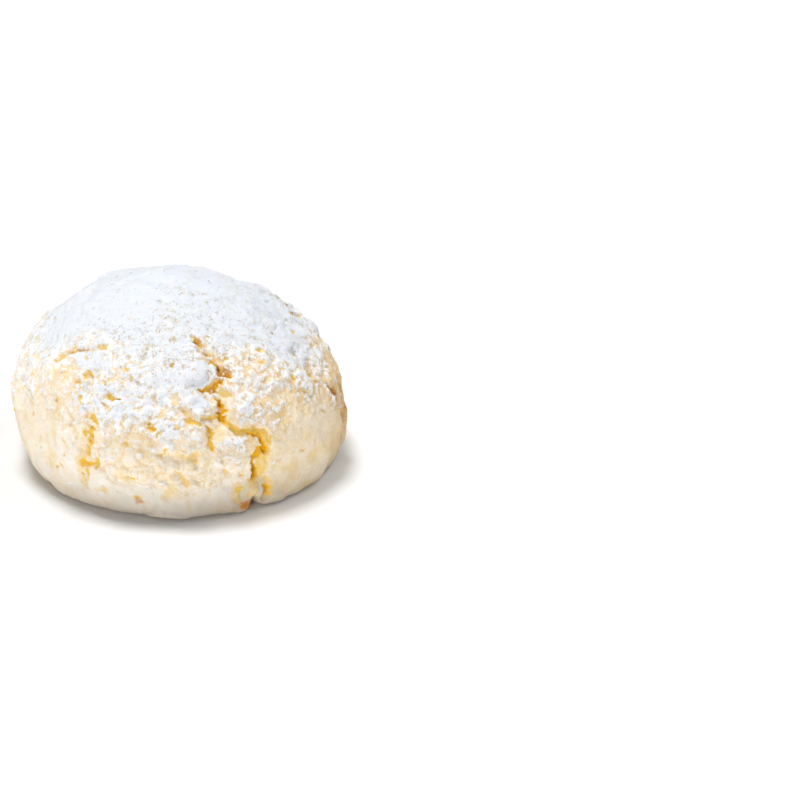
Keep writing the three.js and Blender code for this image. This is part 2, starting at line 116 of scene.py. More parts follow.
# places where the crust has torn through to moist dough: depth, then a path of (bearing, down, width)
tears = [
    # along the main crack
    (0.4, [(17.5, 13.6, 0.5), (19.7, 13.5, 0.8), (21.7, 14.2, 0.4)]),
    (0.3, [(25.3, 12.9, 0.3), (26.7, 13.1, 0.3)]),
    (0.35, [(19, 15.1, 0.3), (21.9, 15.3, 0.3), (24.8, 15.8, 0.5)]),
    (0.5, [(22.2, 17, 0.3), (24.6, 16.6, 0.5), (25.3, 17.2, 0.4)]),
    (0.9, [(26.3, 17.7, 0.7), (26.9, 18.4, 1.2), (28.8, 18.9, 0.9), (30.1, 19.4, 0.5)]),
    (0.8, [(14, 20.5, 0.4), (16.7, 20.7, 0.8), (19.4, 20.6, 1.1), (22.4, 19.9, 0.9), (25.3, 19.7, 0.6)]),
    (0.3, [(23.9, 21.2, 0.8), (24.7, 21.7, 1.0), (27, 21.7, 0.6)]),
    (0.4, [(20.5, 22, 0.5), (22.4, 22.4, 0.7)]),
    (1.3, [(22.5, 22.5, 0.7), (22.2, 23.6, 1.1), (21.1, 24.4, 1.1), (21.5, 24.9, 0.7)]),
    (0.4, [(14.1, 24.5, 0.3), (16.5, 24.4, 0.5), (19.1, 24.3, 0.8)]),
    (0.4, [(21.5, 25.1, 0.8), (23.4, 25.8, 0.9), (25.9, 26.8, 1.1), (28.1, 27, 0.8), (31.7, 27.2, 1.1),
           (34.8, 27.6, 1.1)]),
    (0.9, [(30.4, 27.6, 0.4), (33, 27.7, 0.8), (33.9, 28.5, 0.5)]),
    (1.4, [(34.3, 28.7, 0.5), (34.8, 29.7, 0.8), (35.3, 30.6, 0.5)]),
    (0.9, [(33.5, 29.9, 0.9), (31.4, 30.8, 1.2), (29.5, 31.4, 0.7)]),
    (1.5, [(29.9, 31.8, 0.4), (31.4, 33.4, 1.1), (32, 34.3, 0.9), (30.6, 34.6, 0.7)]),
    (0.32, [(35.2, 27.7, 1.4), (35.8, 29.2, 1.2), (34.6, 31.2, 1.8), (33.5, 32.9, 1.9), (33.5, 34.3, 1.6)]),
    (0.4, [(24.1, 35.5, 0.9), (26.4, 35.6, 0.7), (25.4, 36.4, 0.5)]),
    (0.7, [(34.9, 36, 0.4), (36.9, 36.7, 0.8), (36.5, 37.4, 0.7)]),
    (0.25, [(30.6, 35.2, 2.0), (30.4, 36.6, 2.0)]),
    (0.28, [(36.2, 35.2, 1.2), (37.6, 36.6, 1.4), (36.2, 37.9, 1.0)]),
    (0.24, [(24.4, 34.9, 1.2), (23.6, 36.4, 1.4), (25, 37.4, 0.9)]),
    # over the front
    (0.8, [(-5.7, 25, 0.5), (-5.2, 25.5, 0.8), (-4.1, 25.6, 0.5)]),
    (0.35, [(-14.2, 27.8, 0.7), (-13.5, 28, 0.5)]),
    (0.25, [(7.3, 23.3, 0.9), (8.4, 23.7, 0.7)]),
    (0.4, [(7.7, 24.5, 0.7), (9.6, 24.7, 0.8), (12, 25.1, 0.7)]),
    (0.25, [(3.5, 25.6, 0.5), (4.6, 25.4, 0.5)]),
    (0.55, [(15.6, 25.6, 0.4), (16.5, 26.5, 0.7), (15.6, 27.5, 0.6), (16.1, 28.7, 0.8)]),
    (0.35, [(-1.8, 29.4, 0.4), (-0.1, 28.5, 0.8)]),
    (0.2, [(0.8, 29.3, 0.7), (3.5, 29.5, 0.7), (5.9, 29.5, 0.8)]),
    (0.25, [(10.1, 28.8, 0.7), (9.2, 29.7, 1.1), (9.7, 30.9, 0.5)]),
    (0.3, [(2.4, 31.3, 0.5), (3.9, 31.6, 0.5), (5, 32.7, 0.7), (6.4, 33.4, 1.1)]),
    (0.25, [(1.1, 33.9, 0.4), (2.8, 33.9, 0.3)]),
    (0.3, [(20, 32.3, 0.7), (20.4, 32.4, 0.7)]),
    (0.3, [(-12.4, 35.9, 0.5), (-10.8, 35.6, 0.5)]),
    # along the crack at the left
    (0.5, [(-28.5, 25.1, 1.0), (-26.8, 25.5, 0.8)]),
    (0.5, [(-27.7, 26.5, 0.6), (-28.5, 27.2, 1.0), (-30.4, 27.3, 0.5)]),
    (0.6, [(-27.7, 28, 0.9), (-28.2, 28.6, 1.0)]),
    (0.6, [(-28.7, 29.4, 0.7), (-29.3, 30.5, 0.7)]),
    (0.6, [(-31.9, 32.3, 0.8), (-30.1, 32, 0.9), (-26.5, 31.6, 0.5)]),
    (0.5, [(-25.2, 30.9, 0.6), (-25.2, 31.6, 0.8), (-25.7, 32.1, 0.5)]),
    (0.4, [(-30.5, 33, 0.5), (-30.5, 33.8, 0.5)]),
    (0.25, [(-32.6, 34.6, 0.9), (-32.5, 35.4, 0.9)]),
    (0.2, [(-31, 26.8, 1.0), (-31, 29.3, 1.2), (-32.4, 31.4, 1.2), (-32.9, 33.2, 0.9), (-33.5, 35.2, 1.0)]),
    (0.25, [(-25.6, 35.3, 0.5), (-23.3, 35.2, 0.9)]),
    # along the arc at the upper left
    (0.28, [(-58.6, 20.2, 0.5), (-56.8, 19.9, 0.6), (-56.3, 19.3, 0.8), (-54.3, 18.9, 0.6)]),
    (0.3, [(-54.6, 18.4, 0.5), (-52.2, 17.7, 0.8), (-50, 17.1, 0.6)]),
    (0.2, [(-49.7, 17.1, 0.4), (-45.7, 16.6, 0.4), (-40.2, 16.2, 0.4)]),
    (0.3, [(-38.8, 15.5, 0.4), (-35.4, 15.5, 0.7), (-33.6, 14.9, 0.4)]),
    # pits at the left, and the split at the upper right
    (0.5, [(-69.5, 23.8, 0.5), (-68.5, 24.1, 0.3)]),
    (0.5, [(-35.5, 19.3, 0.5), (-33.6, 19.8, 0.3)]),
    (0.35, [(-26.3, 20.1, 0.3), (-25.3, 20.4, 0.3)]),
    (0.25, [(-24.3, 19.7, 0.5), (-21.5, 19.5, 0.5)]),
    (0.45, [(-22.7, 22, 0.8), (-22.3, 22, 0.8), (-20.7, 22.1, 0.4), (-17.9, 21.9, 0.3)]),
    (0.25, [(-25.2, 22.9, 0.3), (-22.9, 23.4, 0.4)]),
    (0.3, [(-68.3, 26, 0.3), (-68, 26.2, 0.3)]),
    (0.35, [(97, 17, 0.4), (102, 18.2, 0.5), (107, 20, 0.4)]),
]

# small pits all round, and cracks of the far side that wander down and are torn here and there
seededTears = {
    # bearing, top, bottom, depth, seed of its course
    "farCracks": [(134, 20, 36, 0.45, 21), (171, 14, 30, 0.5, 22), (-148, 23, 38, 0.5, 23),
                  (-104, 22, 35, 0.45, 24)],
    "points": 6,
    "swing": 5,              # degrees to either side
    "widths": (0.9, 1.5),    # at the ends and half way
    "seed": 47,              # of the torn parts and the pits
    # between two points of a far crack: where a torn part starts and ends, its depth, its share of the width
    "tornStarts": (0, 0.3),
    "tornEnds": (0.6, 1.0),
    "tornDepths": (0.3, 1.1),
    "tornWidths": (0.4, 0.7),
    "pits": 150,
    "pitBearings": (-180, 180),
    "pitDowns": (16, 34),
    "pitWidths": (0.2, 0.6),
    "pitTapers": (0.6, 1),   # width of the far end
    "pitDepths": (0.2, 0.5),
    "pitTurn": 1.5,          # degrees from end to end, at most
    "pitRun": 0.4,           # and mm down
    "farPits": 16,           # a few more on the far side are as large as those in front
    "farBearings": (95, 265),
    "farWider": 1.7,
    "farDeeper": 1.6,
}

# flakes that stand proud: bearing, down, half across, half along, rise, share over which the edge falls away
flakes = [
    (13.2, 18.7, 2.4, 1.5, 0.6, 0.55), (13, 23, 1.5, 2.0, 0.5, 0.35), (5.6, 27.2, 3.3, 2.0, 0.5, 0.25),
    (21.6, 29.6, 2.6, 2.5, 0.4, 0.3), (31.5, 23.4, 3.0, 2.8, 0.3, 0.6), (-40.4, 18.2, 3.2, 1.4, 0.35, 0.5),
    (30.6, 36, 1.0, 1.4, 0.8, 0.9), (1.9, 32.4, 0.75, 0.75, 0.4, 0.7), (-1.8, 33.4, 0.8, 0.8, 0.3, 0.7),
    (8.2, 33.4, 0.8, 0.9, 0.3, 0.7), (-2, 39.8, 3.0, 2.2, 0.45, 0.3), (26.6, 39.4, 1.5, 1.6, 0.45, 0.7),
    (40, 38.8, 2.4, 1.9, 0.4, 0.7), (-16, 29.4, 1.8, 2.0, 0.2, 0.6), (148, 22, 3.0, 2.2, 0.45, 0.3),
    (-122, 25, 2.8, 2.4, 0.4, 0.3), (-168, 19, 3.2, 2.0, 0.45, 0.4), (87, 35, 2.4, 4.6, 0.55, 0.8),
    (104, 21.6, 2.6, 2.0, 0.6, 0.7),
]

# extra small flakes all round, drawn by a seeded rule
looseFlakes = {
    "count": 110,
    "seed": 45,
    "bearings": (-180, 180),
    "downs": (11, 30),
    "sizes": (0.5, 1.5),
    "across": (0.9, 1.5),    # shares of the size
    "along": (0.6, 1.0),
    "rises": (0.1, 0.32),
    "edges": (0.3, 0.8),
}

# broad places where the crust is a warm tan, which on the right side also carries painted shade: bearing,
# down, half across, half along, strength
tanAndShade = [(90, 31, 8.0, 7.0, 1.0), (62, 30.5, 11.0, 6.0, 0.14), (-62, 28, 5.0, 4.5, 0.12)]

# browned places, likewise
toasted = [
    (85, 29, 3.4, 5.6, 0.42), (95, 33, 5.2, 3.4, 0.36), (106, 28.5, 3.6, 2.6, 0.3),
    (75.5, 27.6, 0.5, 2.0, 0.5), (76, 38.2, 3.0, 2.2, 0.3), (27.8, 38.2, 1.1, 0.8, 1.1),
    (102, 18.4, 3.0, 0.8, 0.5), (19.6, 13.6, 1.3, 0.7, 0.5), (24, 16.4, 1.5, 1.3, 0.35),
    (27.8, 18.6, 1.6, 0.9, 0.7), (19, 20.5, 2.2, 0.8, 0.3), (-11, 36.2, 1.1, 0.9, 0.55),
    (-23, 34.8, 1.0, 0.7, 0.25), (142, 33.5, 2.6, 2.6, 0.5), (-144, 37.4, 1.2, 1.4, 0.6),
    (-99, 32, 2.4, 2.2, 0.45),
]


def smoothStep(low, high, value):
    share = np.clip((value - low) / (high - low), 0, 1)
    return share * share * (3 - 2 * share)


def hashCell(x, y, z, seed):  # 32-bit hash of lattice cells
    word = np.uint32
    x, y, z = (axis.astype(np.int64).astype(word) for axis in (x, y, z))
    with np.errstate(over="ignore"):
        h = x * word(0x8da6b343) ^ y * word(0xd8163841)
        h = h ^ z * word(0xcb1ab31f) ^ word((seed * 0x9e3779b1) & 0xffffffff)
        h = (h ^ (h >> word(15))) * word(0x2c1b3c6d)
        h = (h ^ (h >> word(12))) * word(0x297a2d39)
        return h ^ (h >> word(15))


def noise(points, size, seed):  # smooth seeded noise in space, about -1 to 1
    scaled = points / size
    cell = np.floor(scaled)
    inside = scaled - cell
    blend = inside ** 3 * (inside * (inside * 6 - 15) + 10)
    total = np.zeros(len(points))
    for corner in range(8):
        step = (corner & 1, (corner >> 1) & 1, corner >> 2)
        h = hashCell(*(cell[:, axis] + step[axis] for axis in range(3)), seed)
        weight, slope = 1.0, 0.0
        for axis in range(3):
            weight = weight * (blend[:, axis] if step[axis] else 1 - blend[:, axis])
            slope = slope + np.where(h & np.uint32(1 << axis), 1.0, -1.0) * (inside[:, axis] - step[axis])
        total += weight * slope
    return total


# scattered seeds: distance to the nearest, and how much farther the second is
def cellNoise(points, size, seed):
    scaled = points / size
    cell = np.floor(scaled)
    nearest, second = np.full((2, len(points)), np.inf)
    for corner in range(27):
        step = np.array((corner % 3, corner // 3 % 3, corner // 9)) - 1
        home = cell + step
        jitter = [hashCell(*home.T, seed + axis) / 0xffffffff for axis in range(3)]
        away = np.linalg.norm(home + np.stack(jitter, 1) - scaled, axis=1)
        second = np.minimum(second, np.maximum(nearest, away))
        nearest = np.minimum(nearest, away)
    return nearest, second - nearest


def layeredNoise(points, layers):
    return sum(rise * noise(points, size, seed) for size, rise, seed in layers)


def byBearing(table, bearing):  # value between the bearings of a table
    return np.interp(bearing, *zip(*table))


def bezier(corners, steps):
    t = np.linspace(0, 1, steps)[:, None]
    a, b, c, d = (np.array(corner, float) for corner in corners)
    return (1 - t) ** 3 * a + 3 * (1 - t) ** 2 * t * b + 3 * (1 - t) * t ** 2 * c + t ** 3 * d


def makeMeridian():  # crown to belly to rim, with the distance down at each point
    top, belly = dome["height"], dome["bellyHeight"]
    wide, foot = dome["bellyRadius"], dome["baseRadius"]
    above, below = dome["curveSteps"]
    shoulder, flank = belly + dome["shoulderReach"], belly - dome["flankReach"]
    upper = bezier([(0, top), (dome["crownReach"], top), (wide, shoulder), (wide, belly)], above)
    lower = bezier([(wide, belly), (wide, flank), (foot + dome["undercutReach"], 0), (foot, 0)], below)
    curve = np.vstack([upper, lower[1:]])
    down = np.concatenate([[0], np.cumsum(np.linalg.norm(np.diff(curve, axis=0), axis=1))])
    return curve, down


meridian, meridianDown = makeMeridian()
crustLength = meridianDown[-1]
meridianSlope = np.gradient(meridian, meridianDown, axis=0)


def domeAt(bearing, down):  # the plain dome: point, direction of relief, girth
    radius = np.interp(down, meridianDown, meridian[:, 0])
    height = np.interp(down, meridianDown, meridian[:, 1])
    outward = np.interp(down, meridianDown, meridianSlope[:, 0])
    turn = np.radians(bearing)
    share = 1 + sum(amount * np.cos(count * (turn - math.radians(at))) for count, amount, at in dome["lobes"])
    reach = radius * share
    east, south = np.sin(turn), -np.cos(turn)
    lean = dome["crownLean"] * height / dome["height"]
    points = np.stack([reach * east + lean, reach * south, height], 1)
    rise = outward * smoothStep(0, dome["footFade"], height)
    level = np.sqrt(np.clip(1 - rise * rise, 0, 1))
    return points, np.stack([level * east, level * south, rise], 1), reach


def turnTo(start, end):  # shortest turn between bearings, in degrees
    return (end - start + 180) % 360 - 180


def farCrack(at, top, bottom, seed):  # a course that swings to either side on its way down
    rule = seededTears
    steps = np.arange(rule["points"])
    share = steps / (rule["points"] - 1)
    turns = hashCell(steps, np.full_like(steps, seed), np.zeros_like(steps), seed) / 0xffffffff * 2 - 1
    ends, middle = rule["widths"]
    widths = ends + (middle - ends) * np.sin(np.pi * share)
    return np.stack([at + rule["swing"] * turns, top + (bottom - top) * share, widths], 1)


def seededRelief():  # valleys and tears drawn by rule
    rule = seededTears
    draw = np.random.default_rng(rule["seed"]).uniform
    valleys, torn = [], []
    for at, top, bottom, depth, seed in rule["farCracks"]:
        course = farCrack(at, top, bottom, seed)
        valleys.append((depth, course))
        for start, end in zip(course, course[1:]):
            shares = draw(*rule["tornStarts"]), draw(*rule["tornEnds"])
            depth = draw(*rule["tornDepths"])
            part = [start + (end - start) * share for share in shares]
            path = [(bearing, down, width * draw(*rule["tornWidths"])) for bearing, down, width in part]
            torn.append((depth, path))
    for pit in range(rule["pits"] + rule["farPits"]):
        large = pit >= rule["pits"]
        wider, deeper = (rule["farWider"], rule["farDeeper"]) if large else (1, 1)
        bearing = draw(*rule["farBearings" if large else "pitBearings"])
        down = draw(*rule["pitDowns"])
        width = draw(*rule["pitWidths"]) * wider
        endBearing = bearing + draw(-rule["pitTurn"], rule["pitTurn"])
        endDown = down + draw(-rule["pitRun"], rule["pitRun"])
        endWidth = width * draw(*rule["pitTapers"])
        depth = draw(*rule["pitDepths"]) * deeper
        torn.append((depth, [(bearing, down, width), (endBearing, endDown, endWidth)]))
    return valleys, torn


def nearPath(path, bearing, down, perDegree):  # nearness to a path: 0 on its line, 1 at its edge
    near = np.full(len(bearing), np.inf)
    for (startBearing, startDown, startWidth), (endBearing, endDown, endWidth) in zip(path, path[1:]):
        x, y = turnTo(startBearing, bearing) * perDegree, down - startDown
        runX, runY = turnTo(startBearing, endBearing) * perDegree, endDown - startDown
        along = np.clip((x * runX + y * runY) / (runX * runX + runY * runY), 0, 1)
        halfWidth = (startWidth + (endWidth - startWidth) * along) / 2
        near = np.minimum(near, np.hypot(x - along * runX, y - along * runY) / halfWidth)
    return near


def crackRelief(points, bearing, down, girth):  # depth of valleys and of tears, how torn, and how golden
    relief = crustRelief
    perDegree = math.radians(1) * girth
    farValleys, drawnTears = seededRelief()
    valley, sink, torn, tint = np.zeros((4, len(bearing)))
    stray = layeredNoise(points, relief["crackWander"])
    strayBearing = bearing + np.degrees(stray / girth)
    for depth, path in cracks + farValleys:
        near = nearPath(path, strayBearing, down + stray, perDegree)
        valley = np.maximum(valley, depth * (1 - smoothStep(*relief["crackSide"], near)))
    stray = layeredNoise(points, relief["tearWander"])
    strayBearing = bearing + np.degrees(stray / girth)
    for depth, path in tears + drawnTears:
        near = nearPath(path, strayBearing, down + stray, perDegree)
        inside = 1 - smoothStep(*relief["tearSide"], near)
        torn = np.maximum(torn, inside)
        sink = np.maximum(sink, depth * inside)
        tint = np.maximum(tint, inside * smoothStep(0, relief["goldenDepth"], depth))
    crumble = np.clip(layeredNoise(points, relief["crumble"]), 0, 1)
    sink = sink * (1 - relief["crumbleFill"] * crumble)
    tint = tint * (1 - relief["crumblePale"] * crumble)
    return valley, sink, torn, tint


def allFlakes():
    rule = looseFlakes
    draw = np.random.default_rng(rule["seed"]).uniform
    drawn = []
    for _ in range(rule["count"]):
        size = draw(*rule["sizes"])
        bearing, down = draw(*rule["bearings"]), draw(*rule["downs"])
        across, along = size * draw(*rule["across"]), size * draw(*rule["along"])
        drawn.append((bearing, down, across, along, draw(*rule["rises"]), draw(*rule["edges"])))
    return flakes + drawn


def flakeRelief(points, bearing, down, girth):
    stray = layeredNoise(points, crustRelief["flakeWander"])
    rise = np.zeros(len(bearing))
    for at, place, across, along, height, edge in allFlakes():
        x = (turnTo(at, bearing) * math.radians(1) * girth + stray) / across
        y = (down - place + stray) / along
        rise = np.maximum(rise, height * (1 - smoothStep(1 - edge, 1, np.hypot(x, y))))
    return rise


# rise of crags and grit, strongest half way down, and the creases
def cragRelief(points, bearing, down, torn):
    relief = crustRelief
    start, reach = (byBearing(relief[name], bearing) for name in ("cragStart", "cragReach"))
    before, past = relief["cragEnd"]
    band = smoothStep(start, start + relief["cragOnset"], down)
    band = band * (1 - smoothStep(reach + before, reach + past, down))
    crag = relief["cragLeast"] + (1 - relief["cragLeast"]) * band + relief["cragInTears"] * torn
    size, push, seed = relief["cragWarp"]
    warped = points + push * np.stack([noise(points, size, seed + axis) for axis in range(3)], 1)
    rise, crease = np.zeros((2, len(bearing)))
    for size, height, seed in relief["crags"]:
        middle, border = cellNoise(warped, size, seed)
        rise += crag * height * (relief["cragLevel"] - middle * middle)
        crease = np.maximum(crease, crag * (1 - smoothStep(0, relief["creaseWidth"], border)))
    gritty = relief["gritLeast"] + (1 - relief["gritLeast"]) * crag
    return rise + gritty * layeredNoise(points, relief["grit"]), crease


def softPatches(bearing, down, girth, patches):  # sum of soft-edged patches
    total = np.zeros(len(bearing))
    for at, place, across, along, gain in patches:
        x = turnTo(at, bearing) * math.radians(1) * girth / across
        total += gain * np.exp(-(x * x + ((down - place) / along) ** 2))
    return total


def stitchRings(startA, countA, phaseA, startB, countB, phaseB):  # triangles between two rings of points
    if countA == 1:
        steps = np.arange(countB)
        return np.stack([np.full(countB, startA), startB + steps, startB + (steps + 1) % countB], 1)
    if countB == 1:
        steps = np.arange(countA)
        return np.stack([startA + steps, np.full(countA, startB), startA + (steps + 1) % countA], 1)
    # walk round both rings at once: each event moves one ring on to its next point
    turnsA = (np.arange(countA) + 0.5 + phaseA) / countA
    turnsB = (np.arange(countB) + 0.5 + phaseB) / countB
    turns = np.concatenate([turnsA, turnsB])
    onA = np.concatenate([np.ones(countA, bool), np.zeros(countB, bool)])
    order = np.argsort(turns, kind="stable")
    onA = onA[order]
    movedA = np.cumsum(onA) - onA
    movedB = np.cumsum(~onA) - ~onA
    a, b = movedA % countA, movedB % countB
    following = np.where(onA, startA + (a + 1) % countA, startB + (b + 1) % countB)
    return np.stack([startA + a, startB + b, following], 1)


def crustGrid():  # rings of evenly spaced points from the crown to the rim, then across the base
    spacing = dome["spacing"]
    rows = int(round(crustLength / (spacing * dome["rowShare"])))
    rings = []  # distance down, share of the way out from the middle, points
    for down in np.linspace(0, crustLength, rows + 1):
        radius = np.interp(down, meridianDown, meridian[:, 0])
        rings.append((down, 1.0, max(1, int(round(2 * math.pi * radius / spacing)))))
    rim = rings[-1][2]
    for share, kept in dome["baseRings"]:
        rings.append((crustLength, share, max(dome["leastPoints"], int(rim * share * kept))))
    rings.append((crustLength, 0.0, 1))
    bearing, down, inwards, faces, start = [], [], [], [], 0
    previous = None
    for row, (place, share, count) in enumerate(rings):
        phase = 0.5 * (row % 2) if count > 1 else 0
        bearing.append(((np.arange(count) + phase) / count * 360) - 180)
        down.append(np.full(count, place))
        inwards.append(np.full(count, share))
        if previous:
            faces.append(stitchRings(*previous, start, count, phase))
        previous = (start, count, phase)
        start += count
    return np.concatenate(bearing), np.concatenate(down), np.concatenate(inwards), np.concatenate(faces)


sugarCoat = {
    # how far down half of the crust is covered, and over what distance the cover thins, by bearing
    "edge": [(-180, 24.5), (-120, 25), (-90, 27), (-75, 28), (-60, 22.5), (-45, 24), (-30, 25.5),
             (-15, 25), (0, 26.5), (15, 20.5), (30, 22), (45, 21), (60, 25), (75, 26), (100, 24),
             (140, 25), (180, 24.5)],
    "span": [(-180, 21), (-110, 19), (-90, 15), (-75, 13), (-60, 15), (-45, 19), (-30, 20), (-15, 20),
             (0, 15), (15, 18), (30, 18), (45, 13), (60, 11), (90, 12), (110, 17), (140, 21), (180, 21)],
    "thickest": 1.3,         # cover on the crown
    "front": (12, 50),       # bearing of the worn front, and how far round it reaches
    "frontWear": 0.34,       # thinner cover there
    "drifts": (5.5, 0.16, 61),  # size, strength, seed of the broad patches
    "clumps": [(1.3, 0.36, 62), (0.7, 0.34, 63), (0.45, 0.24, 64)],
    "standsFrom": (0.35, 0.75),  # covers at which the powder starts to stand up, and stands full
    "thickness": 0.1,
    "clumpRise": 0.16,
    "onFlakes": 0.25,        # flakes catch more of it
    "flakeRises": (0.1, 0.35),  # from the first of these heights to the second
    "inCreases": 0.3,        # creases between lumps less
    "inTears": 1.8,          # and tears none
    "goldenFrom": 0.3,       # a tear is clean of it from this much gold on
    # places with more or less sugar than the rule: bearing, down, half across, half along, gain
    "patches": [
        (12.5, 18.6, 2.8, 1.6, 0.6), (12.5, 22.0, 1.8, 1.6, 0.4), (5.6, 25.4, 3.8, 1.2, 0.4),
        (27, 28.0, 2.6, 0.6, 0.7), (20.5, 29.6, 2.6, 2.0, 0.42), (-30, 22.8, 4.6, 2.2, 0.3),
        (-38, 17.6, 3.4, 1.0, 0.4), (-66, 25.5, 3.4, 2.2, 0.3), (-18, 24.2, 3.0, 1.6, 0.3),
        (-13, 20.8, 5.5, 3.2, 0.25), (32, 24.6, 2.6, 1.4, 0.35), (44, 25.6, 2.0, 1.4, 0.35),
        (1.5, 33.2, 3.0, 1.0, 0.3), (60, 25.0, 2.0, 1.6, 0.3), (72, 27.4, 0.8, 2.6, 0.4),
        (29, 20.2, 4.0, 2.6, 0.22), (9, 32.6, 1.0, 1.4, 0.45), (39.5, 32.4, 1.5, 0.6, 0.9),
        (38.5, 26.8, 2.2, 1.0, 0.5), (41, 29.2, 0.6, 1.2, 0.5),
    ],
    "bloom": 0.2,            # faint sugar over the bare dough
    "bloomSizes": [(3.4, 0.9, 65), (1.1, 0.9, 66)],
    "bloomLoss": 0.75,       # there is less of it on the right side
    "bloomTurn": (20, 60),   # which begins between these bearings
    "bloomBack": 130,        # and ends at this one
    "bloomMost": 0.85,
    # places where a thin bloom whitens the dough: bearing, down, half across, half along, strength
    "bloomPatches": [
        (5.6, 27.2, 3.6, 2.2, 0.8), (20, 30.5, 3.0, 2.5, 0.3), (-14, 29.5, 5.0, 3.0, 0.25),
        (-46, 24, 7.0, 3.5, 0.2), (-44, 29, 3.0, 2.5, 0.25), (40, 31.0, 4.0, 3.0, 0.15),
        (-33, 35.5, 7.0, 3.0, 0.5), (-12, 37.0, 8.0, 2.6, 0.5), (-37, 33.8, 0.7, 1.8, 0.7),
        (8, 36.5, 7.0, 2.4, 0.55), (62, 28.5, 1.2, 3.0, 0.4),
    ],
}


def sugarCover(points, place, front, bare, flake, crease):  # above 0.5 the crust is white
    coat = sugarCoat
    bearing, down = place[:2]
    edge, span = (byBearing(coat[name], bearing) for name in ("edge", "span"))
    cover = np.minimum(0.5 + (edge - down) / span, coat["thickest"] - coat["frontWear"] * front)
    size, strength, seed = coat["drifts"]
    cover += strength * noise(points, size, seed)
    cover += softPatches(*place, coat["patches"])
    cover += coat["onFlakes"] * smoothStep(*coat["flakeRises"], flake)
    return cover - coat["inCreases"] * crease - coat["inTears"] * bare


def sugarBloom(points, place, torn):
    coat = sugarCoat
    bearing = place[0]
    onRight = smoothStep(*coat["bloomTurn"], bearing) * (bearing < coat["bloomBack"])
    bloom = coat["bloom"] * (1 - coat["bloomLoss"] * onRight) + softPatches(*place, coat["bloomPatches"])
    bloom = bloom * (1 + layeredNoise(points, coat["bloomSizes"])) * (1 - torn)
    return np.clip(bloom, 0, coat["bloomMost"])


# where the tones and the loose lumps lie on the crust; pairs are where each begins and is full
crustTones = {
    "deepSugar": (0.6, 1.0),      # cover
    "underSugar": (0.1, 0.7),     # cover over tan crust
    "underSugarTurn": (75, 0.4, 0.5),  # bearing where that tan is strongest, its mean and its swing; the swing towards the right side is partly painted shade
    "deepest": 1.1,               # depth of a tear with the deepest gold
    "pinholeTop": (4, 10),        # down
    "pinholeEnd": (18, 24),
    "pinholesBehind": 0.3,        # share of them on the far side
    "footHeights": (0.3, 9),      # where the painted shade at the foot starts to fade, and has gone
    "footTurn": (20, 70),         # bearings to either side between which the painted shade turns weaker, so it is strongest in front
    "footLoss": 0.5,
    "grainCovers": (0.25, 0.65),  # loose grains lie on thin sugar
    "deepGrains": (0.7, 1.1),     # and fewer on deep sugar
    "deepGrainLoss": 0.7,
    "grainHeights": (1.5, 4),     # but not on the foot
    "tornGrainLoss": 0.8,
    "crumbs": (0.2, 0.8),         # how torn the crust is where crumbs lie
    "paleCrumbs": 0.35,           # share of them where a tear isn't golden
    "base": {"sugar": -1.0, "foot": 1.0, "toast": 0.5},  # the flat face is bare, lightly browned and wholly in the painted shade of the foot
}


def makeCrustMesh():
    relief, coat, tones = crustRelief, sugarCoat, crustTones
    bearing, down, inwards, faces = crustGrid()
    plain, outward, girth = domeAt(bearing, down)
    place = bearing, down, np.maximum(girth, relief["leastGirth"])
    valley, sink, torn, tint = crackRelief(plain, *place)
    flake = flakeRelief(plain, *place)
    crags, crease = cragRelief(plain, bearing, down, torn)
    rise = layeredNoise(plain, relief["lumps"]) + flake - valley
    rise += crags - relief["tearSink"] * sink - relief["settle"]
    at, reach = coat["front"]
    front = np.exp(-(turnTo(at, bearing) / reach) ** 2)
    zone = sugarCover(plain, place, front, torn * smoothStep(0, coat["goldenFrom"], tint), flake, crease)
    clump = layeredNoise(plain, coat["clumps"])
    cover = zone + clump
    rise += smoothStep(*coat["standsFrom"], cover) * (coat["thickness"] + coat["clumpRise"] * clump)
    points = plain * np.stack([inwards, inwards, np.ones_like(inwards)], 1)
    points += outward * (rise * inwards ** relief["baseCalm"])[:, None]
    points[:, 2] = np.maximum(points[:, 2], 0)
    mesh = bpy.data.meshes.new("crust")
    mesh.from_pydata(points * mm, [], faces)
    mesh.shade_smooth()
    # fields that the materials and the loose lumps follow
    height = plain[:, 2]
    at, mean, swing = tones["underSugarTurn"]
    underSugar = smoothStep(*tones["underSugar"], zone) * (mean + swing * np.cos(np.radians(bearing - at)))
    speckled = smoothStep(*tones["pinholeTop"], down) * (1 - smoothStep(*tones["pinholeEnd"], down))
    behind = tones["pinholesBehind"]
    # painted shade: the crust turns grey towards the base, where it curls under
    foot = (1 - smoothStep(*tones["footHeights"], height)) ** 2
    grains = smoothStep(*tones["grainCovers"], cover) * smoothStep(*tones["grainHeights"], height)
    grains = grains * (1 - tones["deepGrainLoss"] * smoothStep(*tones["deepGrains"], cover))
    pale = tones["paleCrumbs"]
    fields = {
        "sugar": cover,
        # mask of the deep sugar on the crown, which carries painted shade and painted cool light
        "deepSugarShade": smoothStep(*tones["deepSugar"], zone),
        "tanAndShade": np.clip(underSugar + softPatches(*place, tanAndShade), 0, 1),
        "crease": crease * (1 - torn),
        "torn": torn,
        "tint": tint,
        "deep": np.clip(sink / tones["deepest"], 0, 1),
        "bloom": sugarBloom(plain, place, torn),
        "speckled": speckled * (behind + (1 - behind) * front),
        "foot": foot * (1 - tones["footLoss"] * smoothStep(*tones["footTurn"], np.abs(bearing))),
        "toast": np.clip(softPatches(*place, toasted), 0, 1),
        "grainDensity": grains * (1 - tones["tornGrainLoss"] * torn),
        "crumbDensity": smoothStep(*tones["crumbs"], torn) * (pale + (1 - pale) * tint),
    }
    onBase = inwards < 1
    for name, values in fields.items():
        values = np.where(onBase, tones["base"].get(name, 0.0), values)
        mesh.attributes.new(name, "FLOAT", "POINT").data.foreach_set("value", values.astype(np.float32))
    mesh.update()
    return mesh


